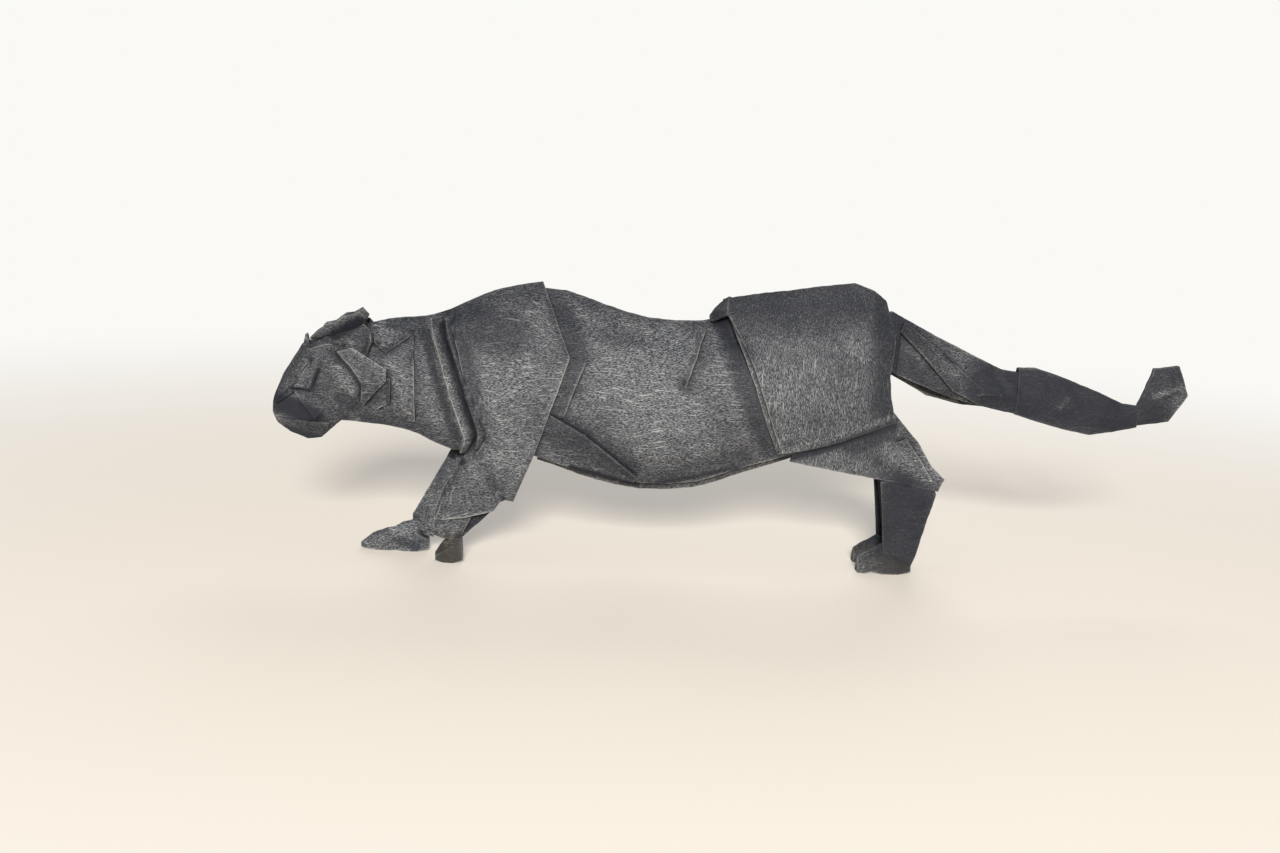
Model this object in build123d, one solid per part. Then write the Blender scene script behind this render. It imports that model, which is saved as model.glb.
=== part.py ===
from build123d import *
import os

# A walking panther folded from one square of black paper, with its tail held out behind it.
#
# Fold points are (back, up, out): millimetres back from the tip of the nose, up from the ground and out
# from the middle plane. Spots are (back, up): fold points seen from the side, whose distance out follows
# from the panel that they lie on. The panther looks along -X and its left side is at negative Y.

# Thickness of the pressed sheet, and of the small laps that lie close on it with a gap under their edge
layer = 0.8
thin_layer = 0.5
thin_lift = 0.25
# How many facets lie between two fold points of the large panels
fine = 2
# Longest mitre at a sharp fold, in thicknesses of the sheet
sharpest_mitre = 3.0
# Points nearer than this to the middle plane lie on it
same_place = 0.1
# Least share of a face's normal that points out to the side, as used to lift a point off it
least_facing = 0.5

# Section of the neck and torso: share of the height and of the half width at each fold from belly to spine
section_levels = (0, 0.2, 0.48, 0.78, 1)
section_shares = (0.58, 0.9, 1, 0.73, 0)

# Hips: a panel over the rump, as lines from the left lower edge to the spine
hip_front = ((130.5, 31.5, 9.8), (127, 40.5, 12.4), (123.5, 50, 13.2), (118.5, 61.5, 10.2),
             (115.2, 70.6, 0))
hip_middle = ((141, 33.8, 11), (138, 42, 13), (136, 51, 13.5), (134, 62, 11), (132, 73.3, 0))
hip_peak = ((152, 37.3, 11), (150, 44, 12.6), (149.5, 52, 12.6), (149.5, 63, 9.8), (150, 76.3, 0))
hip_rear = ((161.5, 40.5, 8.6), (159.5, 47, 9.6), (159, 53, 9), (160.5, 62, 6.5), (158.5, 72, 0))

# Hem along the front of the hip panel: spots on its free edge and on its hidden root
hem_edge = ((116, 67.6), (119.4, 61.4), (122.9, 54.7), (127.1, 44), (130.9, 33.4))
hem_root = ((121, 68.6), (124, 62), (127.2, 55.2), (131, 45), (134.4, 35))

# Roll of gathered paper over the spine where the hip panel starts: left halves of its lines
hip_roll = (
    ((112.2, 65.2, 3), (112, 66, 1.8), (111.9, 66.4, 0)),
    ((113.4, 66, 4.4), (113.3, 67.8, 2.8), (113.4, 68.8, 0)),
    ((116, 67.2, 5.6), (116.3, 69.9, 3.2), (116.8, 71.3, 0)),
)
hip_roll_end = ((120, 67.8), (120.2, 69.6))
hip_roll_end_up = 70.4

# Shoulders: a panel over the withers that runs down to each elbow
shoulder_front = ((60, 17, 8), (54.5, 31, 9.5), (51, 41.5, 10.3), (47.5, 54.5, 9), (45.5, 61, 6),
                  (44.5, 65, 0))
shoulder_middle = ((61, 16.8, 8.6), (60, 32, 10.8), (60, 44, 11.6), (59.5, 57, 9.5), (58, 65.5, 5.8),
                   (56, 70.3, 0))
shoulder_rear = ((62.8, 16.5, 8.5), (67, 28.5, 10.5), (71, 41.5, 12), (75.5, 55, 11),
                 (71.5, 64.5, 6.2), (68, 73, 0))
right_elbow_stride = 5

# Torso: back, height of the belly edge, height of the spine, half width and lean of each section
chest = (74, 27.5, 71, 10.1, 0)
ribs = (84, 24.5, 68, 11.7, 0)
waist = (96, 22.5, 65, 12.2, 0)
loin = (110, 23, 65, 12, 0)
flank = (115.5, 26.8, 66.6, 11.2, 5.5)

# Strip under the belly, and the triangle behind the elbow that laps over the torso
belly_drop = 2.2
belly_half = 3.6
belly_slit = 1.0
belly_lip = 0.8
belly_flap_low = ((80, 24.8), (93.5, 22.6))
belly_flap_middle = ((80.3, 29.5), (94, 23.2))
belly_flap_top = ((80, 34.8), (94.6, 23.8))
belly_flap_lifts = (1.2, 1.4, 1.8)

# Neck sections, in the same terms as the torso's
nape = (29, 35, 62.3, 8.3, 0)
throat = (35.5, 33, 63, 8.4, 2)
collar = (40.5, 29, 63.8, 7.3, 6.5)

# Two pleats round the base of the neck: spots on the free edge in front and on the hidden root behind it
front_pleat_edge = ((39.5, 62.6), (40.6, 58), (42.2, 53.5), (45.6, 43), (49.4, 33), (48.6, 29.2))
front_pleat_root = ((43.6, 63.3), (44.6, 58.5), (46, 53.5), (49.6, 43.5), (52.6, 34), (51.6, 30))
front_pleat_lift = 1.9
rear_pleat_edge = ((43.4, 62.8), (44.5, 58.2), (46.3, 53.5), (49.6, 43.5), (53, 34), (52.2, 30.6))
rear_pleat_root = ((46.4, 63.8), (47.4, 58.6), (48.8, 53.8), (52.4, 44), (55.4, 34.6), (54.8, 31.2))
rear_pleat_lift = 1.1

# Thin laps on the neck, as spots on the hidden root and on the free edge: the one whose edge runs down
# behind the cheek, and the triangle behind the ear
neck_lap_root = ((31, 58), (31.5, 47), (32.5, 36.6))
neck_lap_edge = ((35.7, 58.4), (36.4, 47.6), (36.9, 36))
nape_lap_root = ((25.6, 60.4), (30.5, 60.2), (35.2, 59.8))
nape_lap_edge = ((25.8, 56.6), (28.8, 54), (35.4, 58.7))

# Thin laps on the torso: one behind the shoulder and one before the flank
rib_lap_root = ((73, 55.5), (71.5, 46), (71, 38.5))
rib_lap_edge = ((79.7, 53.7), (76.6, 46), (74.6, 39.5))
flank_lap_root = ((107.2, 64.4), (105.2, 56), (104.4, 48.6))
flank_lap_edge = ((111, 63), (108.4, 56), (105.4, 48.4))

# Head: lines from the chin over the cheek and the brow to the top, from the nose to the back of the cheek
nose = ((1.6, 33.8, 1.2), (0.7, 35.6, 1.8), (0.2, 37.2, 1.9), (0.2, 38.3, 1.8), (0.3, 39, 1.6),
        (0.4, 39.6, 1.2), (0.2, 39.9, 0))
muzzle = ((5, 31.7, 2.4), (5, 35.3, 3.6), (4.2, 37.8, 2.7), (3.8, 40.5, 2.6), (3.7, 43.4, 2.6),
          (3.8, 45.8, 2.2), (2.5, 46.3, 0))
eyes = ((9.5, 30.3, 3), (10, 35.4, 5), (9.5, 38, 4.2), (8.6, 42.5, 4.2), (8, 47, 3.6), (8.5, 53.3, 3.2),
        (6.9, 54.4, 0))
brow = ((13, 31, 3.6), (14, 35.5, 6), (14, 39.5, 6.7), (13.4, 44, 6.8), (13, 49.5, 6.2), (13, 55.2, 5.2),
        (12.3, 57.6, 0))
cheek = ((17.5, 35.6, 4.6), (18, 38.3, 6.5), (18.5, 42, 7.7), (18.5, 46, 8.9), (18.3, 51, 8.4), (18, 56, 6.8),
         (18, 59.8, 0))
jaw = ((21, 38.3, 5), (22, 41, 7.4), (22.8, 44, 8.9), (22.8, 47.5, 9.3), (22.6, 52, 8.7), (22.5, 57.2, 6.8),
       (23, 61.4, 0))

# Which folds of the cheek line the front of the neck joins, from the chin up
neck_joins = (True, True, False, True, False, True, True)

# Flaps on the head: spots on the hidden root, on the fold beside it where there is one, and on the free edge
cheek_flap_root = ((22.2, 41.5), (21.6, 45.6), (18.3, 50), (15.4, 53.3))
cheek_flap_fold = ((22.8, 41.3), (23, 46.4), (19.8, 50.8), (16.6, 54))
cheek_flap_edge = ((23.6, 40.8), (29.3, 47), (29.3, 50), (20.5, 55.2))
cheek_fold_lift = 1.2
cheek_flap_lift = 2.0
jaw_flap_root = ((22, 41.5), (22.4, 44.5), (22.4, 48))
jaw_flap_edge = ((26.6, 39.3), (30.2, 41), (30.2, 47.5))
jaw_flap_lift = 0.7
muzzle_flap_root = ((1.3, 40.6), (6.4, 45), (13.6, 38.6))
muzzle_flap_edge = ((1.1, 38.8), (5.7, 42.4), (11.4, 35.9))
muzzle_flap_lift = 0.4
lip_root = ((3, 33.6), (10.4, 33), (14.6, 33.6))
lip_edge = ((2.2, 35.4), (11.2, 35.2), (15, 35.4))
lip_lift = 0.1

# Eye: its slits as long thin diamonds cut into the paper, each from its top to its bottom end
eye_slits = (((9.7, 51), (6, 45.6)), ((12.1, 49.6), (10.5, 43.6)), ((4.8, 42.9), (10.4, 43)))
eye_slit_width = 0.55
eye_slit_depth = 0.5
eye_slit_reach = 3

# Ears: the free rim, as fold points, over spots on the hidden root
ear_rim = ((14.7, 57, 7), (16.6, 58.3, 7.8), (19, 59.2, 8.6), (21.3, 60, 8.9), (23.4, 61.4, 8.6),
           (25, 59.8, 8.2), (25.3, 57, 8.6))
ear_root = ((14.8, 55.4), (16.6, 55), (18.8, 54.5), (20.6, 54.1), (22, 53.8), (23, 53.5), (23.8, 53.1))
# Ruffles over the brow and inside the ear, in the same terms
ruffle_rim = ((9, 56.1, 1.6), (11, 58.1, 2.6), (12, 58.9, 2.2), (12.9, 60.2, 3.2), (15.3, 60.8, 2.9),
              (17.9, 62.9, 3.8), (20.1, 63.2, 3.3), (21.8, 64.3, 4.1), (23.4, 62.6, 3.6))
ruffle_root = ((9.6, 54.6), (11, 55.6), (12.2, 56.2), (13.4, 56.8), (15.4, 57.4), (17.6, 58), (19.8, 58.8),
               (21.6, 59.6), (23, 60))
# Tuft on the brow
tuft = (((7.2, 53.9, 0.9), (8.9, 54.6, 0.9)), ((7.8, 57.2, 1), (8.3, 57.1, 1)))

# Forelegs: lines from under the shoulder to the paw, each from the outer rear edge round the front to the
# inner rear edge
left_foreleg = (
    ((66, 36, 10.6), (60, 36, 10.4), (56.5, 36, 9.6), (54.5, 36, 8), (58, 36, 5), (64, 36, 4.5)),
    ((65.3, 27, 9.7), (58, 28, 9.9), (53, 29.2, 9.4), (50.5, 29.5, 7.5), (57, 28, 4.6), (63, 27, 4.3)),
    ((62.3, 17.6, 8.4), (54.5, 19, 9.2), (47.6, 20, 8.9), (45, 20, 6.8), (52, 19, 4.3), (60.5, 17, 4.2)),
    ((52.6, 12.8, 6.8), (49.4, 12.6, 7.6), (45.4, 12.8, 7.6), (42.6, 13.2, 6), (48, 12.5, 3.9),
     (57.2, 13, 3.9)),
    ((49.6, 5.6, 7), (48.2, 5.7, 7.6), (45.2, 6, 7.6), (42.8, 6.5, 6), (46.8, 5.8, 3.9), (50.4, 6, 3.9)),
)
# Cuff: the outer layer of the left foreleg, which ends over the open back of the ankle
cuff = (
    ((45.8, 20.4, 7.4), (47.6, 20.2, 8.4), (54, 19.6, 8.7), (61.6, 19.6, 8.2)),
    ((42.9, 11.1, 6.8), (45.2, 11.2, 8.6), (50, 11.9, 9.1), (57.8, 13.8, 8.9)),
)
right_foreleg = (
    ((63, 36, 10.5), (58, 36, 10.3), (53, 36, 8), (57, 36, 5), (62, 36, 4.5)),
    ((60, 25, 9.2), (53, 26, 9.2), (46, 27, 7), (52, 26, 4.5), (58, 25, 4)),
    ((52, 16, 7.4), (46.5, 16.5, 7.9), (40.5, 17, 5.8), (46, 16.5, 3.6), (51, 16, 3.4)),
    ((44.6, 8.5, 7), (41.3, 9, 7.2), (36.5, 9.5, 5), (41, 9, 2.7), (44, 8.5, 2.7)),
    ((42.4, 3.8, 7), (40.6, 4.2, 7.1), (36.4, 5, 4.9), (40.6, 4.2, 2.7), (42.2, 3.8, 2.7)),
)

# Thighs: lines back to the hock, each from the outer lower edge over the top to the inner lower edge
thigh = (
    ((134, 29.3, 8.2), (135.5, 34.5, 9.2), (138, 42, 12.6), (138, 41, 7), (137, 36, 4.5), (135, 30.5, 4)),
    ((148, 27, 8.6), (149, 35, 9.3), (150, 43, 12.2), (150, 42, 7), (149.5, 36, 4.6), (148.5, 28, 3.8)),
    ((159.5, 25, 8.4), (160.5, 33.5, 8.8), (160.5, 43.5, 8.9), (160.5, 42.5, 5.5), (161, 34, 4),
     (160, 26, 3.6)),
    ((167.5, 23.7, 8), (168.3, 29, 8.2), (168.8, 34.8, 7.4), (169, 35, 4.8), (168.7, 30, 4),
     (168, 25, 3.7)),
    ((171.6, 23.1, 7.8), (172, 26.4, 7.8), (172.3, 29.4, 7.3), (172.3, 29.3, 4.8), (172, 26.8, 4.2),
     (171.8, 24, 3.8)),
    ((174.3, 22.7, 7.6), (175, 24.3, 7.6), (176, 26, 7.2), (176, 26, 4.8), (175.3, 24.8, 4.3),
     (174.8, 23.6, 4.1)),
)
# Hem along the back of the thigh
thigh_hem_root = ((160.5, 34.5), (165, 29.5), (168.6, 25.5))
thigh_hem_edge = ((164.9, 36.4), (169.6, 30.2), (172.6, 25.4))
# Shanks: lines down to the heel, each from the inner front edge round the back to the outer front edge
shank = (
    ((159, 31, 4.2), (166, 31, 4.2), (171.3, 28, 5), (171.3, 28, 7.3), (166, 31, 8), (158.5, 31, 8.8)),
    ((160, 22.5, 4.2), (167, 22, 4.4), (174, 21.8, 4.9), (174, 21.8, 7.2), (167, 22, 7.9),
     (159.3, 23, 7.6)),
    ((161, 14, 4.1), (166.5, 13.5, 4.2), (171.8, 13, 4.7), (171.8, 13, 7), (166.5, 13.5, 7.5),
     (160, 14.5, 7.4)),
    ((162, 6.5, 4), (166, 6, 4.1), (169.8, 5, 4.6), (169.8, 5, 6.9), (166, 6, 7.3), (160.6, 7, 7.2)),
    ((162, 1.8, 4), (165.5, 1.5, 4), (168.4, 1.2, 4.5), (168.4, 1.2, 6.8), (165.5, 1.5, 7.2),
     (161.5, 2, 7.2)),
)
right_hind_stride = 1.2

# Paws: back, half width, height and lift of the sole at each section, and how far out each pair stands
left_forepaw = ((43, 1.4, 2.2, 0.4), (45, 2.6, 5, 0), (47.5, 3, 7.6, 0), (50.2, 2.4, 7.4, 0.8))
right_forepaw = ((23, 0.5, 1.7, 0.5), (26, 1.6, 4.2, 0), (30, 2.3, 5.8, 0), (32, 1.8, 6.2, 0),
                 (34, 2.6, 7.4, 0), (37.5, 2.8, 8.2, 0), (41, 2, 4.4, 0.8))
hind_paw = ((154.3, 1.8, 4, 0), (156, 2.5, 5.2, 0), (158, 2.7, 6.2, 0.9), (160.5, 3, 7.6, 0),
            (165, 2.8, 5.6, 0), (168.6, 1.8, 2.6, 0.6))
left_forepaw_out = 6.5
right_forepaw_out = 4.7
hind_paw_out = 5.8
knuckle_share = 0.85
knuckle_rise = 0.55

# Tail: a strip folded along its top, as lines from its left lower edge to the fold, in two runs with
# a twist between them
tail_run = (
    ((161.5, 52.8, 4.2), (162, 64.4, 4.8), (160.5, 69.2, 0.95)),
    ((172, 48.6, 3.6), (170.5, 56, 5), (172, 63.3, 0.95)),
    ((181, 45.9, 2.8), (179, 48.2, 4.6), (181, 59.2, 0.95)),
    ((190, 44.2, 2.4), (190, 48.5, 3.6), (191, 55, 0.95)),
    ((196.5, 43, 2), (196.5, 48.5, 2.6), (196.5, 54.3, 0.95)),
)
# How far the right lower edge of the first run hangs below the left one
tail_right_drops = (0.9, 2.4, 1.5, 0, 0)
# Upper layer of the tail's first run: spots on its hidden root and on its edge, which runs to the lower edge
tail_lap_root = ((163.2, 66.4), (169.4, 62), (177, 56), (185, 49.6))
tail_lap_edge = ((161.4, 64.6), (167.2, 59), (176.6, 48.9), (183.4, 45.9))
tail_end = (
    ((194.5, 43.2, 2.2), (194.8, 49, 3), (195.2, 55.6, 0.95)),
    ((200, 41.6, 2.5), (200.5, 48.5, 3.2), (200.3, 55.6, 0.95)),
    ((208, 39.5, 2.2), (208, 46.5, 3), (208, 53.2, 0.95)),
    ((216, 37.9, 1.8), (217, 43.5, 2.6), (218, 49.6, 0.95)),
    ((223, 39, 1.4), (224, 42.5, 2), (225.5, 46.4, 0.95)),
    ((229, 40.4, 1.2), (229.2, 43, 1.5), (229.6, 46, 0.95)),
)
tail_tip = (
    ((228, 40.6, 0.9), (228.2, 43, 1.2), (228.4, 45.8, 0.9)),
    ((237.5, 42.3, 0.9), (234.5, 47.5, 2), (230.6, 51, 0.9)),
    ((242.5, 49.5, 0.7), (237.5, 52.5, 1.9), (232.3, 55.6, 0.8)),
    ((239.6, 57.6, 0.7), (236, 57.1, 1.2), (232.6, 56.6, 0.8)),
)
tail_tip_layers = 2
# How many facets of the rump on each side of the spine the folds of the tail's root join
tail_root_folds = 3


# Points and lines

def point(back, up, out):
    """A fold point on the panther's left side."""
    return Vector(back, -out, up)


def points(*lines):
    """Lines of fold points on the left side."""
    return [[point(*p) for p in line] for line in lines]


def mirrored(line):
    """The same line on the other side of the middle plane."""
    return [Vector(p.X, -p.Y, p.Z) for p in line]


def moved(line, back):
    """The same line further back."""
    return [p + Vector(back, 0, 0) for p in line]


def straight(values, u):
    """Value at u on the straight stretches between values that stand at 0, 1, 2 and so on."""
    i = min(int(u), len(values) - 2)
    return values[i] + (values[i + 1] - values[i]) * (u - i)


def soft(values, u):
    """Value at u on the smooth curve through values that stand at 0, 1, 2 and so on."""
    i = min(int(u), len(values) - 2)
    t = u - i
    a = values[max(i - 1, 0)]
    b = values[i]
    c = values[i + 1]
    d = values[min(i + 2, len(values) - 1)]
    leaving = (c - a) / 2
    arriving = (d - b) / 2
    return (b * (1 + 2 * t) + leaving * t) * (1 - t)**2 + (c * (3 - 2 * t) - arriving * (1 - t)) * t**2


def steps(count):
    """Even steps, with each stretch between two of the values divided into fine parts."""
    return [k / fine for k in range((count - 1) * fine + 1)]


def bulged(line):
    """Points between the fold points of a line, straight seen from the side and softly bulging outward."""
    backs, outs, ups = [p.X for p in line], [p.Y for p in line], [p.Z for p in line]
    return [Vector(straight(backs, u), soft(outs, u), straight(ups, u)) for u in steps(len(line))]


def both_sides(left, right=None):
    """A line from the left lower edge up over the middle and down to the right lower edge."""
    right = mirrored(right or left)[::-1]
    return left + (right[1:] if abs(left[-1].Y) < same_place else right)


def along(rows):
    """Rows added between the given ones, so that every line from front to rear runs smoothly."""
    return [[soft(line, u) for line in zip(*rows)] for u in steps(len(rows))]


def section(back, low, top, half, lean):
    """A row over the neck or torso; its belly edge stands further back than its spine by the lean."""
    left = []
    for level, share in zip(section_levels, section_shares):
        left.append(point(back + lean * (1 - level), low + (top - low) * level, half * share))
    return both_sides(bulged(left))


# Sheets of paper

def triangles(rows):
    """Corner numbers of the triangles between the rows."""
    for i in range(len(rows) - 1):
        for j in range(len(rows[0]) - 1):
            yield (i, j), (i + 1, j), (i + 1, j + 1)
            yield (i, j), (i + 1, j + 1), (i, j + 1)


def mitre(faces):
    """The step inward that stands one millimetre off the faces round a point."""
    total = sum(faces, Vector(0, 0, 0))
    spread = sum(face.length for face in faces) / total.length
    return total.normalized() * -min(spread, sharpest_mitre)


def sunk(rows, depth=layer / 2):
    """The rows moved inward from the outer face of the paper, to its middle unless told otherwise."""
    found = [[[] for _ in line] for line in rows]
    for corners in triangles(rows):
        places = [rows[i][j] for i, j in corners]
        for turn, (i, j) in enumerate(corners):
            here, ahead, behind = places[turn:] + places[:turn]
            normal = (ahead - here).cross(behind - here).normalized()
            found[i][j].append(normal * (ahead - here).get_angle(behind - here))
    return [[p + mitre(faces) * depth for p, faces in zip(*pair)] for pair in zip(rows, found)]


def solid(faces):
    """A solid bounded by flat faces."""
    return Solid(Shell([Face(Wire.make_polygon(corners)) for corners in faces]))


def sheet(rows, thickness=layer):
    """A creased sheet of paper whose outer face runs through the rows."""
    inner = sunk(rows, thickness)
    last_row = len(rows) - 1
    last = len(rows[0]) - 1
    border = [(i, 0) for i in range(last_row)] + [(last_row, j) for j in range(last)]
    border += [(i, last) for i in range(last_row, 0, -1)] + [(0, j) for j in range(last, 0, -1)]
    faces = []
    for corners in triangles(rows):
        faces.append([rows[i][j] for i, j in corners])
        faces.append([inner[i][j] for i, j in reversed(corners)])
    for (i, j), (k, m) in zip(border, border[1:] + border[:1]):
        faces.append([rows[k][m], rows[i][j], inner[i][j]])
        faces.append([rows[k][m], inner[i][j], inner[k][m]])
    return solid(faces)


def on(rows, spot, lift):
    """The point of a panel's left side that lies at the spot, lifted off its outer face."""
    x, z = spot
    found = []
    for corners in triangles(rows):
        a, b, c = (rows[i][j] for i, j in corners)
        normal = (b - a).cross(c - a)
        if normal.Y < 0:
            of_a = ((b.X - x) * (c.Z - z) - (c.X - x) * (b.Z - z)) / -normal.Y
            of_b = ((c.X - x) * (a.Z - z) - (a.X - x) * (c.Z - z)) / -normal.Y
            of_c = 1 - of_a - of_b
            facing = max(-normal.Y / normal.length, least_facing)
            out = lift / facing - (a.Y * of_a + b.Y * of_b + c.Y * of_c)
            found.append((min(of_a, of_b, of_c), out))
    return point(x, z, max(found)[1])


def buried(carrier, spots, thickness=layer):
    """A row that is let into its carrier, for the hidden root of a flap."""
    return [on(carrier, spot, -thickness / 2) for spot in spots]


def raised(carrier, spots, lift, thickness=layer):
    """A row of a flap that stands off its carrier by the lift."""
    return [on(carrier, spot, lift + thickness) for spot in spots]


def across(rows):
    """The same grid with its rows running the other way."""
    return [list(line) for line in zip(*rows)]


def turned(rows):
    """The same grid with its inner and outer face exchanged."""
    return [line[::-1] for line in rows]


def both(panel):
    """A panel on the left side and its mirror image on the right."""
    return [panel, panel.mirror(Plane.XZ)]


# The panther

def shoulder_row(line):
    """A row over the shoulders, whose right end reaches forward to its own elbow."""
    elbow, *rest = [point(*p) for p in line]
    right = moved([elbow], -right_elbow_stride) + rest
    return both_sides(bulged([elbow] + rest), bulged(right))


def belly_strip(torso):
    """Rows of the strip that closes the left half of the belly, hung inside the torso's lower edge."""
    core = sunk(torso)
    rows = []
    for line, middle in zip(torso[1:], core[1:]):
        back = line[0].X
        low = line[0].Z - belly_drop
        rows.append([point(back, low + belly_lip, belly_slit), point(back, low, belly_half), middle[1]])
    return rows


def thigh_rows(hips):
    """Rows of a thigh, let into the hip panel where that covers it."""
    rows = points(*thigh)
    for row in rows[:3]:
        row[2] = on(hips, (row[2].X, row[2].Z), -layer / 2)
    return rows


def rooted(lines, carrier, outer):
    """Rows of a leg; the chosen outer points of its first line are let into the panel above it."""
    rows = points(*lines)
    for j in outer:
        rows[0][j] = on(carrier, (rows[0][j].X, rows[0][j].Z), -layer / 2)
    return rows


def paw(sections, out, back=0):
    """A paw of pressed layers with a flat sole, from the toe to the heel."""
    rings = []
    for place, half, height, lift in sections:
        knuckle = lift + (height - lift) * knuckle_rise
        side = half * knuckle_share
        outline = ((-half, lift), (-side, knuckle), (0, height), (side, knuckle), (half, lift))
        rings.append([point(place + back, up, out + aside) for aside, up in outline])
    faces = [rings[0][::-1], rings[-1]]
    for front, rear in zip(rings, rings[1:]):
        for a, b, c, d in zip(front, front[1:] + front[:1], rear[1:] + rear[:1], rear):
            faces += [[a, b, c], [a, c, d]]
    return solid(faces)


def skin():
    """The large panels as grids of points on their outer faces: hips, shoulders, torso, head and neck."""
    hips = along([both_sides(bulged(line)) for line in points(hip_front, hip_middle, hip_peak, hip_rear)])
    shoulders = along([shoulder_row(line) for line in (shoulder_front, shoulder_middle, shoulder_rear)])
    shoulder_core = sunk(shoulders)
    torso_sections = [section(*place) for place in (chest, ribs, waist, loin, flank)]
    torso = along([shoulder_core[-2][fine:-fine]] + torso_sections + [sunk(hips)[fine]])
    head = [both_sides(line) for line in points(nose, muzzle, eyes, brow, cheek, jaw)]
    skull = sunk(head)[-2]
    neck_front = both_sides(bulged([p for p, joined in zip(skull, neck_joins) if joined]))
    neck_sections = [section(*place) for place in (nape, throat, collar)]
    neck = along([neck_front] + neck_sections + [shoulder_core[1][fine:-fine]])
    return hips, shoulders, torso, head, neck


def neck_pleats(neck):
    """Two pleats round the base of the neck, open to the front."""
    front = [raised(neck, front_pleat_edge, front_pleat_lift), buried(neck, front_pleat_root)]
    rear = [raised(neck, rear_pleat_edge, rear_pleat_lift), buried(neck, rear_pleat_root)]
    return [turned(across(front)), turned(across(rear))]


def belly_flap(shoulders, torso):
    """The triangle that laps over the torso behind the elbow, from the shoulder panel to its tip."""
    rows = [sunk(shoulders)[-2][fine:2 * fine + 1]]
    for spots in zip(belly_flap_low, belly_flap_middle, belly_flap_top):
        rows.append([on(torso, spot, lift) for spot, lift in zip(spots, belly_flap_lifts)])
    return rows


def traced(spots):
    """The spots with more between them, so that a row through them follows its carrier."""
    backs, ups = zip(*spots)
    return [(straight(backs, u), straight(ups, u)) for u in steps(len(spots))]


def thin_lap(carrier, root, edge):
    """A thin lap that lies close on its carrier."""
    return [buried(carrier, traced(root), thin_layer), raised(carrier, traced(edge), thin_lift, thin_layer)]


def body_laps(hips, torso, neck):
    """Thin laps on the neck, the torso and the front of the hips."""
    return [
        turned(thin_lap(neck, neck_lap_root, neck_lap_edge)),
        thin_lap(neck, nape_lap_root, nape_lap_edge),
        turned(thin_lap(torso, rib_lap_root, rib_lap_edge)),
        turned(thin_lap(torso, flank_lap_root, flank_lap_edge)),
        thin_lap(hips, hem_root, hem_edge),
    ]


def hip_gather(hips):
    """The roll of gathered paper over the spine at the front of the hips."""
    end = buried(hips, hip_roll_end) + [point(hip_roll_end[-1][0], hip_roll_end_up, 0)]
    return [both_sides(line) for line in points(*hip_roll) + [end]]


def head_flaps(head, neck):
    """Cheek and jaw flaps, ears and the ruffles over the brow."""
    cheek_flap = [
        buried(head, cheek_flap_root),
        raised(head, cheek_flap_fold, cheek_fold_lift),
        raised(neck, cheek_flap_edge, cheek_flap_lift),
    ]
    jaw_flap = [buried(head, jaw_flap_root), raised(neck, jaw_flap_edge, jaw_flap_lift)]
    ear = points(ear_rim) + [buried(head, ear_root)]
    ruffle = points(ruffle_rim) + [buried(head, ruffle_root)]
    return [cheek_flap, jaw_flap, ear, ruffle]


def face_laps(head):
    """Thin laps over the muzzle and along the lip."""
    over_muzzle = [
        buried(head, muzzle_flap_root, thin_layer),
        raised(head, muzzle_flap_edge, muzzle_flap_lift, thin_layer),
    ]
    lip = [buried(head, lip_root, thin_layer), raised(head, lip_edge, lip_lift, thin_layer)]
    return [over_muzzle, lip]


def eye_cuts(head):
    """Thin diamond-shaped cutters for the slits of both eyes."""
    cuts = []
    for top, bottom in eye_slits:
        start = on(head, top, -eye_slit_depth)
        end = on(head, bottom, -eye_slit_depth)
        aside = (end - start).cross(Vector(0, 1, 0)).normalized() * eye_slit_width / 2
        middle = (start + end) / 2
        diamond = Face(Wire.make_polygon([start, middle + aside, end, middle - aside]))
        cuts += both(extrude(diamond, amount=eye_slit_reach, dir=(0, -1, 0)))
    return cuts


def legs(hips, shoulders):
    """The four legs with their paws."""
    left_fore = turned(rooted(left_foreleg, shoulders, (0, 1, 2)))
    right_fore = turned(rooted(right_foreleg, shoulders, (0, 1)))
    upper = thigh_rows(hips)
    lower = turned(rooted(shank, upper, (-2,)))
    right_lower = [moved(line, right_hind_stride) for line in lower]
    left = [left_fore, points(*cuff), upper, lower]
    right = [right_fore, upper, right_lower]
    solids = [sheet(rows) for rows in left] + [sheet(rows).mirror(Plane.XZ) for rows in right]
    solids += both(sheet(turned(thin_lap(upper, thigh_hem_root, thigh_hem_edge)), thin_layer))
    solids += [paw(left_forepaw, left_forepaw_out), paw(hind_paw, hind_paw_out)]
    right_paws = [paw(right_forepaw, right_forepaw_out), paw(hind_paw, hind_paw_out, right_hind_stride)]
    return solids + [right_paw.mirror(Plane.XZ) for right_paw in right_paws]


def dropped(line, drop):
    """The right line of a left line of the tail, whose lower edge hangs lower."""
    return [line[0] - Vector(0, 0, drop)] + line[1:]


def tail(hips):
    """The tail, whose root is let into the hip panel on both sides of the spine."""
    core = sunk(hips)[-2]
    spine = len(core) // 2
    root = core[spine - tail_root_folds:spine] + core[spine + 1:spine + 1 + tail_root_folds]
    run = [both_sides(line, dropped(line, drop)) for line, drop in zip(points(*tail_run), tail_right_drops)]
    end = [both_sides(line) for line in points(*tail_end)]
    upper = sheet(turned(thin_lap(run, tail_lap_root, tail_lap_edge)), thin_layer)
    return [sheet([root] + run), sheet(end), sheet(points(*tail_tip), tail_tip_layers * layer), *both(upper)]


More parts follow.
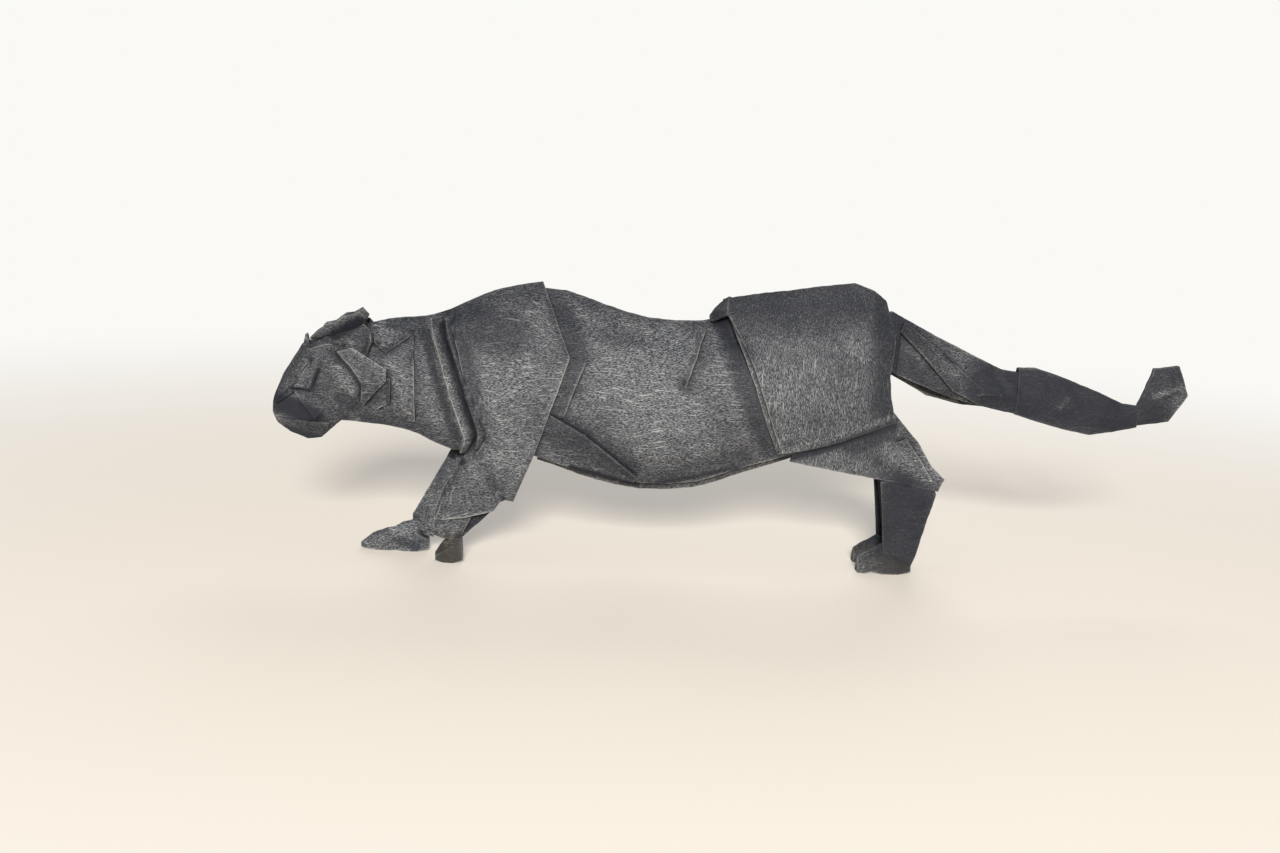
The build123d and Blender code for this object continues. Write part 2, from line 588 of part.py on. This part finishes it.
def panther():
    """The whole folded sheet as one solid, standing on its paws, with its origin under its middle."""
    hips, shoulders, torso, head, neck = skin()
    solids = [sheet(rows) for rows in (torso, hips, shoulders, neck, head, hip_gather(hips))]
    flaps = [belly_strip(torso), belly_flap(shoulders, torso)]
    for rows in neck_pleats(neck) + flaps + head_flaps(head, neck):
        solids += both(sheet(rows))
    for rows in body_laps(hips, torso, neck) + face_laps(head) + [points(*tuft)]:
        solids += both(sheet(rows, thin_layer))
    solids += legs(hips, shoulders) + tail(hips)
    whole = solids[0].fuse(*solids[1:]).cut(*eye_cuts(head))
    box = whole.bounding_box()
    middle = (box.min + box.max) / 2
    return whole.moved(Location((-middle.X, -middle.Y, -box.min.Z)))


os.makedirs("parts", exist_ok=True)
export_step(panther(), "parts/folded_sheet.step")
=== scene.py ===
import math

import bmesh
import bpy
from mathutils import Matrix, Vector, bvhtree, kdtree, noise


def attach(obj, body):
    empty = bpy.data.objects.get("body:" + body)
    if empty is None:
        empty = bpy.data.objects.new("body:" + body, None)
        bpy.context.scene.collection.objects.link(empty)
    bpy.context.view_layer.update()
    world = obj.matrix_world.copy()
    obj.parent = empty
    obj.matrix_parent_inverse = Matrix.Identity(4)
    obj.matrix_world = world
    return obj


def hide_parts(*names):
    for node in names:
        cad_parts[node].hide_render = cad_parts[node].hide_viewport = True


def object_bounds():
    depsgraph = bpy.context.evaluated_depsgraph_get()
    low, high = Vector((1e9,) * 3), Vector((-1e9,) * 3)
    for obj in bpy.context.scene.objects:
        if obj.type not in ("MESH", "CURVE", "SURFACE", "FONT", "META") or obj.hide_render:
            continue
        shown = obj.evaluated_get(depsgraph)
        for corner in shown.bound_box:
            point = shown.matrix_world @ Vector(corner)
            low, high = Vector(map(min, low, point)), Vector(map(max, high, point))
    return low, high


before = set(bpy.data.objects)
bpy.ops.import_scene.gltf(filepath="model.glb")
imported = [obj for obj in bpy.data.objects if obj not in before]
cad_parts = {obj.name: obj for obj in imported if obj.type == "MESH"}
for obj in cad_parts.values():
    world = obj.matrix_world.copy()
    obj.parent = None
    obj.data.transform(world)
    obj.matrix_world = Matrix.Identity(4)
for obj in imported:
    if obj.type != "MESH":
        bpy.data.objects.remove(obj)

cad_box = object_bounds()

mm = 0.001
scene = bpy.context.scene

# Where the middle of the panther's box lies, in millimetres back from the tip of its nose
middle = 121.35


def place(back, up):
    """A point of the panther's middle plane in the scene, from millimetres back and up."""
    return Vector((back - middle, 0, up)) * mm


# Surface of the folded sheet

# Points closer than this are one, and faces that turn less than this from each other are one flat face
merge_distance = 0.002 * mm
flat_angle = math.radians(0.4)
# Folds sharper than this stay sharp
fold_angle = math.radians(38)
# How far off a face the search for another layer in front of it starts
clear_of_face = 0.05 * mm

# A fine edge, how much shorter it is on the head, as far back as its flaps reach, and how much longer on
# faces that look at another layer
mesh_edge = 0.93 * mm
head_share = 0.65
head_back = 31
hidden_share = 3
# Long edges are halved in passes, so that the faces stay even: the first pass takes those over this many fine
# edges, each next one those over a length this many times shorter, down to about one fine edge
first_pass = 8
pass_ratio = 1.6
# Then the points between the sharp folds are evened out, in this many passes that each move them this share of
# the way to the middle of their neighbours
smoothing_passes = 5
smoothing_share = 0.5

# Soft waves of a large panel, crumpled patches on it and the rough run of its edges: length and height
wave_length = 24 * mm
wave_height = 0.6 * mm
patch_length = 8 * mm
patch_height = 0.42 * mm
ripple_length = 1.6 * mm
ripple_height = 0.1 * mm
# A patch levels off at this share of its height
patch_top = 0.7
# The soles stay flat: the push grows over this height, and only starts at this share of it above the floor
sole_height = 4 * mm
sole_share = 0.2
# The push is the same in each run, and each of its patterns starts at another place
noise.seed_set(5)
pattern_start = Vector((3.1, 7.7, 1.9))

# Soft folds pressed into the panels, in millimetres: both ends as (back, up), how far the fold reaches to each
# side, and its height. With the nose on the left, the paper stands out on the left hand of the way from the
# first end to the second, and dips on the right hand
soft_folds = (
    ((79.7, 53.7), (75.8, 44.4), 3.5, 0.35),
    ((85.5, 66.9), (82.7, 58.7), 4.5, 0.4),
    ((111, 63), (105.5, 48.2), 5, 0.4),
    ((108.4, 49.5), (112.1, 41.4), 3, 0.2),
    ((44.7, 65), (50.3, 55.6), 4, 0.5),
    ((61.4, 57.6), (56.1, 55.8), 4, 0.35),
    ((15.9, 53.1), (21.5, 46.2), 2.5, 0.3),
    ((53, 31), (58.6, 20.1), 2.5, 0.4),
    ((45.8, 16.4), (47.2, 25), 1.5, 0.25),
    ((235.8, 49.2), (241.2, 52.2), 2, 0.3),
    ((189.2, 54.9), (196, 44), 3, 0.4),
)

# The curve of a fold, x * (1 - x) ** 2, peaks at 4 / 27. Times this factor it comes to three quarters of the
# height
fold_factor = 5

# Stretches where the dye lies deep and hardly any fibre shows; most of them are painted shade, on the tops,
# the muzzle and the sides that turn from the lamp, in the hollows of the ear and the eye slits, and under the
# hems, cuffs and the belly's edge. Both ends as (back, up) and the reach in millimetres, and how strong it is
# from 0 to 1
dye_and_shade_areas = (
    ((2, 39), (11, 36.4), 5, 0.98),
    ((3.6, 32), (12, 30.6), 2.5, 0.9),
    ((9, 53), (2, 41), 4, 0.6),
    ((14, 51), (12, 40), 14, 0.45),
    ((24, 37), (47, 29), 3, 0.7),
    ((15.6, 57.9), (21.8, 61.4), 2.6, 1),
    ((18.5, 57.2), (22.8, 57.8), 2.2, 0.6),
    ((24, 60), (23.8, 54), 2.2, 0.7),
    ((9.6, 50.8), (6.1, 45.8), 1.2, 1),
    ((11.7, 48.5), (10.2, 43.6), 1.2, 1),
    ((5, 42.9), (10.5, 42.9), 1, 1),
    ((15.6, 53.1), (22.3, 45.3), 2.6, 0.75),
    ((22, 53), (27, 48), 6, 0.45),
    ((18, 41.6), (21, 40.4), 4, 0.75),
    ((25, 42), (29, 44.5), 3.5, 0.65),
    ((29.8, 49.4), (29.8, 41), 1.2, 0.8),
    ((27, 53.4), (33, 56.6), 2.6, 0.65),
    ((30, 61.5), (40, 62.5), 3.5, 0.55),
    ((30, 36), (46, 29), 6, 0.55),
    ((40, 55), (47.6, 32.6), 2.2, 0.8),
    ((38.5, 60), (41, 52), 2.4, 0.6),
    ((43, 61), (52, 36), 2, 0.85),
    ((47, 60), (52, 45), 3.5, 0.65),
    ((46.5, 28), (49, 26.8), 2.2, 1),
    ((45.6, 26), (46.6, 25.2), 1.6, 1),
    ((45.5, 27), (43, 21), 3, 0.6),
    ((50, 63), (60, 60), 9, 0.7),
    ((53, 41), (52.6, 29.4), 3, 0.6),
    ((55.6, 25.6), (57.7, 19.9), 2.4, 0.5),
    ((52, 8), (57, 12), 2.6, 0.9),
    ((45, 22), (50, 12), 9, 0.35),
    ((140, 58), (150, 44), 34, 0.15),
    ((48, 69), (68, 73), 8, 0.6),
    ((71.5, 69), (78, 55), 5, 0.65),
    ((76.3, 51.6), (73, 40), 3.5, 0.55),
    ((74, 73), (110, 67), 8, 0.6),
    ((96, 22), (122, 30), 5, 0.55),
    ((72, 36), (92, 26), 8, 0.62),
    ((84, 30.5), (93, 24.2), 1.6, 0.8),
    ((77, 26), (96, 21.6), 1.4, 1),
    ((96, 21.6), (121, 27), 1.2, 0.9),
    ((114.5, 66), (119.5, 57), 4.5, 0.9),
    ((117, 60), (129, 32.4), 5, 0.72),
    ((120, 73), (152, 77), 16, 0.72),
    ((158.5, 72), (159, 46), 9, 0.8),
    # Painted shadow under the hip panel's lower hem
    ((132, 30), (161, 39.6), 2.2, 0.95),
    ((150, 35), (159, 37.5), 5, 0.75),
    ((166, 20), (165, 7), 15, 0.91),
    ((163, 66), (172, 54), 6, 0.5),
    ((165, 55), (176, 49), 6, 0.75),
    ((188, 51), (230, 43), 15, 0.93),
    ((230, 46), (238, 56), 10, 0.8),
    ((46.5, 5), (47, 1), 5.5, 0.8),
    ((27.8, 4.9), (37.6, 1.2), 2, 0.75),
)
# Places rubbed pale, and painted highlights on the crests, rims, eye and panel middles that face the lamp, in
# the same terms
worn_and_highlight_areas = (
    ((20.4, 55.8), (21.8, 54.2), 1.2, 0.6),
    ((21.2, 54.4), (28.8, 50.2), 1.2, 0.4),
    ((17.5, 48.4), (19.8, 45), 3, 0.5),
    ((6.8, 46.4), (8.7, 49.6), 0.9, 0.7),
    ((6.9, 34.7), (13.9, 34.6), 1, 0.25),
    ((26, 58.6), (31.5, 58), 2.4, 0.3),
    ((31, 49), (35, 44), 4.5, 0.15),
    ((126, 50), (138, 53), 9, 0.1),
    ((131, 37), (150, 43), 5, 0.08),
    ((39.5, 62.5), (42.3, 52.6), 1.5, 0.3),
    ((42.8, 51.5), (50.3, 32), 1.5, 0.5),
    ((75.1, 54.4), (71.8, 45.8), 1.2, 0.4),
    ((71.8, 45.8), (61.5, 18.5), 1.2, 0.3),
    ((43.3, 10.8), (57.9, 13.7), 1, 0.4),
    ((84.6, 52), (101.3, 43.1), 11, 0.22),
    ((116.5, 66.5), (131, 33), 1, 0.35),
    ((131.5, 32.6), (161, 42.4), 1.1, 0.3),
    ((160, 33), (172, 27), 4, 0.35),
    ((206.6, 45.2), (209.4, 47.8), 0.8, 0.2),
    ((232.7, 49.2), (240.8, 52), 0.9, 0.5),
    ((28.8, 3.6), (38, 6.6), 2, 0.6),
    ((44, 9), (45.9, 4.6), 0.9, 0.7),
    ((48.3, 9.1), (46.9, 5.4), 0.9, 0.7),
)
# Brown dust on the left paws, thick on the forepaw and thin on the hind paw, in the same terms
dusty_areas = (
    ((46.7, 4.5), (46.8, 0.5), 5, 1),
    ((157, 2), (166, 1), 5, 0.5),
)
# How steeply an area fades: it is whole up to 0.29 of its reach from its line, and gone at its reach
area_fade = 1.4
# Painted shade in the creases: how much of it is left one fine edge further from a crease, and over how many
# edges it spreads
crease_shade_left = 0.62
crease_shade_rings = 4

# The hip panel and the thigh, in millimetres: a spot on the panel's front edge, how far back that edge leans
# for each millimetre down, the panel's rear edge and the foot of the thigh
hip_front_back, hip_front_up = 114.5, 69.5
hip_lean = 0.42
hip_rear = 163
thigh_foot = 26


def waves(point, length, height, start):
    """A smooth push in all three directions that repeats over about the length."""
    return noise.noise_vector(point / length + start) * height


def patches(point, length, height, start):
    """A push outwards in flat patches, with the valleys that crumpled paper has between them."""
    near, _ = noise.voronoi(point / length + start)
    rise = min(near[1] - near[0], patch_top)
    return Vector((0, math.copysign(rise * height, point.y), 0))


def seen_from_side(point):
    """A point of the scene as (back, up) in millimetres."""
    return Vector((point.x / mm + middle, point.z / mm))


def from_line(spot, start, end):
    """How far a spot lies from the stretch between two spots, and how far to the side of its full line."""
    start, end = Vector(start), Vector(end)
    run = (end - start).normalized()
    along = min(max((spot - start).dot(run), 0), (end - start).length)
    return (spot - start - run * along).length, (spot - start).dot(Vector((-run.y, run.x)))


def folds(point):
    """A sideways push at the soft folds."""
    push = 0
    for start, end, reach, height in soft_folds:
        distance, aside = from_line(seen_from_side(point), start, end)
        if distance < reach:
            push += aside / reach * (1 - distance / reach) ** 2 * height * fold_factor
    return Vector((0, math.copysign(mm, point.y) * push, 0))


def paint_areas(bm, spots, name, areas):
    """Keep at each point, under the name, how strongly the areas cover it, from 0 to 1."""
    layer = bm.verts.layers.float.new(name)
    for start, end, reach, most in areas:
        start, end = Vector(start), Vector(end)
        centre = (start + end).to_3d() / 2
        for spot, index, _ in spots.find_range(centre, (end - start).length / 2 + reach):
            distance, _ = from_line(spot.to_2d(), start, end)
            share = min(max(area_fade - area_fade * distance / reach, 0), 1)
            v = bm.verts[index]
            v[layer] = max(v[layer], most * share * share * (3 - 2 * share))


def hip_panel(point):
    """Whether a point lies on the hip panel or the thigh, where the fibres stand upright."""
    back, up = seen_from_side(point)
    front = hip_front_back + (hip_front_up - up) * hip_lean
    return front < back < hip_rear and up > thigh_foot


def paint(bm):
    """What the material needs at each point: rubbed edges, painted crease shade, dyeing, painted shade and
    highlights, fibre course.
    """
    worn = bm.verts.layers.float.new("worn_edge")
    crease_shade = bm.verts.layers.float.new("painted_crease_shade")
    upright = bm.verts.layers.float.new("upright_fibres")
    # Convex folds are marked as rubbed edges, and concave folds start the painted shade in the creases
    for edge in bm.edges:
        if not edge.smooth:
            for v in edge.verts:
                v[worn if edge.calc_face_angle_signed(0) > 0 else crease_shade] = 1
    for _ in range(crease_shade_rings):
        spread = [max([v[crease_shade]] + [edge.other_vert(v)[crease_shade] * crease_shade_left for edge in v.link_edges])
                  for v in bm.verts]
        for v, amount in zip(bm.verts, spread):
            v[crease_shade] = amount
    bm.verts.index_update()
    bm.verts.ensure_lookup_table()
    spots = kdtree.KDTree(len(bm.verts))
    for v in bm.verts:
        v[upright] = float(hip_panel(v.co))
        spots.insert(seen_from_side(v.co).to_3d(), v.index)
    spots.balance()
    paint_areas(bm, spots, "dye_and_painted_shade", dye_and_shade_areas)
    paint_areas(bm, spots, "rubbed_and_highlit", worn_and_highlight_areas)
    paint_areas(bm, spots, "brown_dust", dusty_areas)


def mark_open_faces(bm):
    """Keep for each face whether it looks out freely, and not at another layer."""
    layer = bm.faces.layers.int.new("looks_out")
    layers_of_paper = bvhtree.BVHTree.FromBMesh(bm)
    for face in bm.faces:
        start = face.calc_center_median() + face.normal * clear_of_face
        face[layer] = layers_of_paper.ray_cast(start, face.normal)[0] is None


def allowed_share(bm, edge):
    """How many times the usual length an edge may keep."""
    looks_out = bm.faces.layers.int["looks_out"]
    if not any(face[looks_out] for face in edge.link_faces):
        return hidden_share
    back, _ = seen_from_side(edge.verts[0].co)
    return head_share if back < head_back else 1


def refine(bm):
    """Divide the long edges, and round off the paper between the sharp folds."""
    length = first_pass * mesh_edge
    while length > mesh_edge:
        long_edges = [edge for edge in bm.edges if edge.calc_length() > length * allowed_share(bm, edge)]
        bmesh.ops.subdivide_edges(bm, edges=long_edges, cuts=1)
        bmesh.ops.triangulate(bm, faces=[face for face in bm.faces if len(face.verts) > 3])
        length /= pass_ratio
    free = [v for v in bm.verts if all(edge.smooth for edge in v.link_edges)]
    for _ in range(smoothing_passes):
        bmesh.ops.smooth_vert(bm, verts=free, factor=smoothing_share,
                              use_axis_x=True, use_axis_y=True, use_axis_z=True)


def work_by_hand(bm):
    """Push the points as folding by hand does, but nowhere out of the box of the CAD model."""
    low, high = cad_box
    for v in bm.verts:
        share = min(max(v.co.z / sole_height - sole_share, 0), 1)
        push = waves(v.co, wave_length, wave_height, pattern_start)
        push += patches(v.co, patch_length, patch_height, pattern_start * 2)
        push += waves(v.co, ripple_length, ripple_height, pattern_start * 3)
        push += folds(v.co)
        v.co += push * share
        for axis in range(3):
            v.co[axis] = min(max(v.co[axis], low[axis]), high[axis])


def folded_paper():
    """The whole folded sheet: the panels of the frame with softer curves between their folds."""
    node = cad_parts["folded_sheet"]
    bm = bmesh.new()
    bm.from_mesh(node.data)
    bmesh.ops.remove_doubles(bm, verts=bm.verts, dist=merge_distance)
    bmesh.ops.dissolve_limit(bm, angle_limit=flat_angle, verts=bm.verts, edges=bm.edges)
    bmesh.ops.triangulate(bm, faces=bm.faces)
    for edge in bm.edges:
        edge.smooth = edge.calc_face_angle(math.pi) < fold_angle
    mark_open_faces(bm)
    refine(bm)
    paint(bm)
    work_by_hand(bm)
    for face in bm.faces:
        face.smooth = True
    mesh = bpy.data.meshes.new("folded_paper")
    bm.to_mesh(mesh)
    bm.free()
    piece = bpy.data.objects.new("folded_paper", mesh)
    scene.collection.objects.link(piece)
    return piece


# Materials

def linear(code):
    """Linear colour of an sRGB hex value."""
    parts = [int(code[i:i + 2], 16) / 255 for i in (1, 3, 5)]
    return [c / 12.92 if c <= 0.04045 else ((c + 0.055) / 1.055) ** 2.4 for c in parts] + [1]


def add(tree, kind, settings=None, inputs=None, links=None):
    """A shader node with its settings, its input values by name or number, and links into its inputs.

    A Mix node's inputs go by number: 0 is its factor, 4 and 5 are two vectors, 6 and 7 two colours. Its
    output 1 is the vector and 2 the colour.
    """
    node = tree.nodes.new("ShaderNode" + kind)
    for name, value in (settings or {}).items():
        setattr(node, name, value)
    for name, value in (inputs or {}).items():
        node.inputs[name].default_value = value
    for name, socket in (links or {}).items():
        tree.links.new(socket, node.inputs[name])
    return node


def empty_material(name):
    """A material without nodes, and its node tree."""
    material = bpy.data.materials.new(name)
    material.use_nodes = True
    material.node_tree.nodes.clear()
    return material, material.node_tree


def along_fibres(tree, point, turn, squeeze):
    """A point squeezed along the course of the fibres, which is level, or upright where the turn is 1."""
    # Through the panther it is squeezed as well, so that faces which turn away don't show cut ends
    through = 0.35
    level = add(tree, "VectorMath", {"operation": "MULTIPLY"},
                {1: (squeeze, through, 1)}, {0: point}).outputs[0]
    upright = add(tree, "VectorMath", {"operation": "MULTIPLY"},
                  {1: (1, through, squeeze)}, {0: point}).outputs[0]
    return add(tree, "Mix", {"data_type": "VECTOR"}, links={0: turn, 4: level, 5: upright}).outputs[1]


def mulberry_paper():
    """Black-dyed mulberry paper, pressed by hand: fine pale fibres in a dull blue-black ground.

    The fibres and hairs tell the eye that it is paper, the rubbed edges and the painted shade in its gaps show
    its layers, the bumps and the uneven dyeing show that it was worked by hand, and painted shade and
    highlights in listed areas stand in for the light. A noise of scale 1000 changes over about 1 mm.
    """
    material, tree = empty_material("black_mulberry_paper")
    here = add(tree, "TexCoord").outputs["Object"]

    # The fibres wander by up to 1.2 mm over about 7 mm, so their pattern is bent
    bend = add(tree, "TexNoise", inputs={"Scale": 150, "Detail": 1}, links={"Vector": here}).outputs["Color"]
    bent = add(tree, "VectorMath", {"operation": "MULTIPLY_ADD"},
               {1: [1.2 * mm] * 3}, {0: bend, 2: here}).outputs[0]

    # Short fibres, level on the body and upright on the hip. Real ones are too fine to show, so they are drawn
    # 0.12 mm wide and 0.7 mm long
    turn = add(tree, "Attribute", {"attribute_name": "upright_fibres"}).outputs["Fac"]
    fibres = add(tree, "TexNoise", inputs={"Scale": 8500, "Detail": 1, "Roughness": 0.6},
                 links={"Vector": along_fibres(tree, bent, turn, 0.18)}).outputs["Fac"]

    # Cloudy patches 14 mm across, where the fibres lie closer, and areas where the dye and painted shade cover
    # them
    cloud = add(tree, "TexNoise", inputs={"Scale": 70, "Detail": 4, "Roughness": 0.6},
                links={"Vector": here}).outputs["Fac"]
    dye_and_shade = add(tree, "Attribute", {"attribute_name": "dye_and_painted_shade"}).outputs["Fac"]
    crease_shade = add(tree, "Attribute", {"attribute_name": "painted_crease_shade"}).outputs["Fac"]
    darkened = add(tree, "Math", {"operation": "MAXIMUM"}, links={0: dye_and_shade, 1: crease_shade}).outputs[0]
    open_weave = add(tree, "Math", {"operation": "SUBTRACT"}, {0: 1}, {1: darkened}).outputs[0]
    patch = add(tree, "MapRange", inputs={"From Min": 0.34, "From Max": 0.62, "To Min": 0.5},
                links={"Value": cloud}).outputs[0]
    # Rubbed places and painted highlights bare more of the fibres
    pale = add(tree, "Attribute", {"attribute_name": "rubbed_and_highlit"}).outputs["Fac"]
    cover = add(tree, "Math", {"operation": "MULTIPLY_ADD"},
                links={0: open_weave, 1: patch, 2: pale}).outputs[0]

    # The ground between the fibres is blue-black, and greyer where more of them show
    shade = add(tree, "Math", {"operation": "MULTIPLY_ADD"}, {1: 0.35}, {0: cloud, 2: cover}).outputs[0]
    ground = add(tree, "Mix", {"data_type": "RGBA"},
                 {6: linear("#0f111a"), 7: linear("#28282a")}, {0: shade}).outputs[2]
    bare = add(tree, "MapRange", inputs={"From Min": 0.47, "From Max": 0.63},
               links={"Value": fibres}).outputs[0]
    shown = add(tree, "Math", {"operation": "MULTIPLY"}, links={0: bare, 1: cover}).outputs[0]
    coat = add(tree, "Mix", {"data_type": "RGBA"}, {7: linear("#78797a")}, {0: shown, 6: ground}).outputs[2]

    # Single long hairs, about 0.2 mm wide and 5 mm long, lie over the sheet and wander by up to 9 mm
    sweep = add(tree, "TexNoise", inputs={"Scale": 45, "Detail": 1}, links={"Vector": here}).outputs["Color"]
    swept = add(tree, "VectorMath", {"operation": "MULTIPLY_ADD"},
                {1: [9 * mm] * 3}, {0: sweep, 2: here}).outputs[0]
    strand = add(tree, "TexNoise", inputs={"Scale": 4500, "Detail": 0},
                 links={"Vector": along_fibres(tree, swept, turn, 0.045)}).outputs["Fac"]
    hair = add(tree, "MapRange", inputs={"From Min": 0.68, "From Max": 0.78, "To Max": 0.4},
               links={"Value": strand}).outputs[0]
    lying = add(tree, "Math", {"operation": "MULTIPLY"}, links={0: hair, 1: cover}).outputs[0]
    haired = add(tree, "Mix", {"data_type": "RGBA"}, {7: linear("#b0afa9")}, {0: lying, 6: coat}).outputs[2]

    # Fold edges are rubbed here and there, over less than a fine edge: the fibres have lost their dye
    edge = add(tree, "Attribute", {"attribute_name": "worn_edge"}).outputs["Fac"]
    narrow = add(tree, "Math", {"operation": "POWER"}, {1: 3}, {0: edge}).outputs[0]
    where = add(tree, "Math", {"operation": "MULTIPLY_ADD"}, {1: 0.8, 2: 0.04}, {0: cover}).outputs[0]
    partly = add(tree, "Math", {"operation": "MULTIPLY"}, links={0: narrow, 1: where}).outputs[0]
    rubbed_coat = add(tree, "Mix", {"data_type": "RGBA"},
                      {7: linear("#8f8e88")}, {0: partly, 6: haired}).outputs[2]

    # Brown dust lies on the left paws
    dust = add(tree, "Attribute", {"attribute_name": "brown_dust"}).outputs["Fac"]
    thin_dust = add(tree, "Math", {"operation": "MULTIPLY"}, {1: 0.6}, {0: dust}).outputs[0]
    dusty = add(tree, "Mix", {"data_type": "RGBA"},
                {7: linear("#322c20")}, {0: thin_dust, 6: rubbed_coat}).outputs[2]

    # Painted shade: the narrow slots between two layers, which ambient occlusion finds, are painted nearly
    # black
    shelter = add(tree, "AmbientOcclusion", {"samples": 8, "only_local": True},
                  {"Distance": 4.5 * mm}).outputs["AO"]
    slot_shade = add(tree, "MapRange", inputs={"From Min": 0.85, "From Max": 0.35, "To Max": 0.9},
               links={"Value": shelter}).outputs[0]
    colour = add(tree, "Mix", {"data_type": "RGBA"}, {7: linear("#0b0b11")}, {0: slot_shade, 6: dusty}).outputs[2]

    # Small crumples, about 3 mm across, and the fibres themselves stand up a little
    crumple = add(tree, "TexNoise", inputs={"Scale": 330, "Detail": 4, "Roughness": 0.6},
                  links={"Vector": here}).outputs["Fac"]
    uneven = add(tree, "Bump", inputs={"Strength": 0.6, "Distance": 0.35 * mm},
                 links={"Height": crumple}).outputs[0]
    relief = add(tree, "Bump", inputs={"Strength": 0.4, "Distance": 0.05 * mm},
                 links={"Height": fibres, "Normal": uneven}).outputs[0]

    # A dull surface with a faint sheen on the folds
    shader = add(tree, "BsdfPrincipled",
                 inputs={"Roughness": 0.75, "Specular IOR Level": 0.25},
                 links={"Base Color": colour, "Normal": relief})
    add(tree, "OutputMaterial", links={"Surface": shader.outputs["BSDF"]})
    return material


backdrop_white = "#faf9f6"


def pale_floor():
    """A matte cream floor, which shows the shadow.

    For the camera it fades into the white of the backdrop, so that the eye finds no edge.
    """
    material, tree = empty_material("pale_floor")
    here = add(tree, "TexCoord").outputs["Object"]
    away = add(tree, "VectorMath", {"operation": "LENGTH"}, links={0: here}).outputs["Value"]

    # From mostly cream within 0.12 m of the middle to all white at 0.55 m
    fade = add(tree, "MapRange", {"interpolation_type": "SMOOTHSTEP"},
               {"From Min": 0.12, "From Max": 0.55, "To Min": 0.15}, {"Value": away}).outputs[0]
    seen = add(tree, "LightPath").outputs["Is Camera Ray"]
    faded = add(tree, "Math", {"operation": "MULTIPLY"}, links={0: fade, 1: seen}).outputs[0]
    matte = add(tree, "BsdfPrincipled", inputs={"Base Color": linear("#f0e4d0"), "Roughness": 0.7})
    white = add(tree, "Emission", inputs={"Color": linear(backdrop_white)})
    both = add(tree, "MixShader", links={0: faded, 1: matte.outputs[0], 2: white.outputs[0]})
    add(tree, "OutputMaterial", links={"Surface": both.outputs[0]})
    return material


# The panther

paper = folded_paper()
paper.data.materials.append(mulberry_paper())
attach(paper, "root")
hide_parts("folded_sheet")

# Floor

floor_mesh = bpy.data.meshes.new("floor")
bm = bmesh.new()
bmesh.ops.create_grid(bm, x_segments=1, y_segments=1, size=3)
bm.to_mesh(floor_mesh)
bm.free()
floor = bpy.data.objects.new("floor", floor_mesh)
scene.collection.objects.link(floor)
floor.data.materials.append(pale_floor())

# Light

lamp_white = "#fdfdfd"


def direction(azimuth, elevation):
    """The way from the panther to where a lamp or the camera stands, from degrees round and above it."""
    a, e = math.radians(azimuth), math.radians(elevation)
    return Vector((math.sin(a) * math.cos(e), -math.cos(a) * math.cos(e), math.sin(e)))


def softbox(name, target, azimuth, elevation, distance, size, power):
    """A square lamp that faces the target."""
    light = bpy.data.lights.new(name, "AREA")
    light.shape = "SQUARE"
    light.size = size
    light.energy = power
    light.color = linear(lamp_white)[:3]
    lamp = bpy.data.objects.new(name, light)
    scene.collection.objects.link(lamp)
    outward = direction(azimuth, elevation)
    lamp.location = target + outward * distance
    lamp.rotation_mode = "QUATERNION"
    lamp.rotation_quaternion = outward.to_track_quat("Z", "Y")


# The front lamp lights the left side; the wide rear lamp is weak and lets the right side be judged
body_middle = place(middle, 38)
softbox("front_softbox", body_middle, azimuth=-6, elevation=20, distance=2, size=0.4, power=67)
softbox("rear_softbox", body_middle, azimuth=168, elevation=28, distance=2, size=1, power=11)

# The room gives a little cool light all round, and the camera sees a white backdrop in its place
world = bpy.data.worlds.new("room")
scene.world = world
world.use_nodes = True
sky = world.node_tree
sky.nodes.clear()
seen = add(sky, "LightPath").outputs["Is Camera Ray"]
room_light = add(sky, "Background", inputs={"Color": linear("#eef0fb"), "Strength": 0.32})
backdrop = add(sky, "Background", inputs={"Color": linear(backdrop_white), "Strength": 1.0})
either = add(sky, "MixShader", links={0: seen, 1: room_light.outputs[0], 2: backdrop.outputs[0]})
add(sky, "OutputWorld", links={"Surface": either.outputs[0]})

# Camera, where the photograph was taken from

look_at = place(95.3, 36)
camera_distance = 458 * mm
roll = math.radians(2.8)
backward = direction(azimuth=-5, elevation=9.3)
level = Vector((0, 0, 1)).cross(backward).normalized()
upward = backward.cross(level)
right = level * math.cos(roll) + upward * math.sin(roll)
top = upward * math.cos(roll) - level * math.sin(roll)
camera = bpy.data.objects.new("camera", bpy.data.cameras.new("camera"))
scene.collection.objects.link(camera)
camera.data.sensor_width = 36
camera.data.lens = 48.94
camera.data.clip_start = 0.01
camera.data.clip_end = 20
camera.matrix_world = Matrix.Translation(look_at + backward * camera_distance) @ Matrix(
    (right, top, backward)).transposed().to_4x4()
scene.camera = camera
scene.view_settings.view_transform = "Standard"
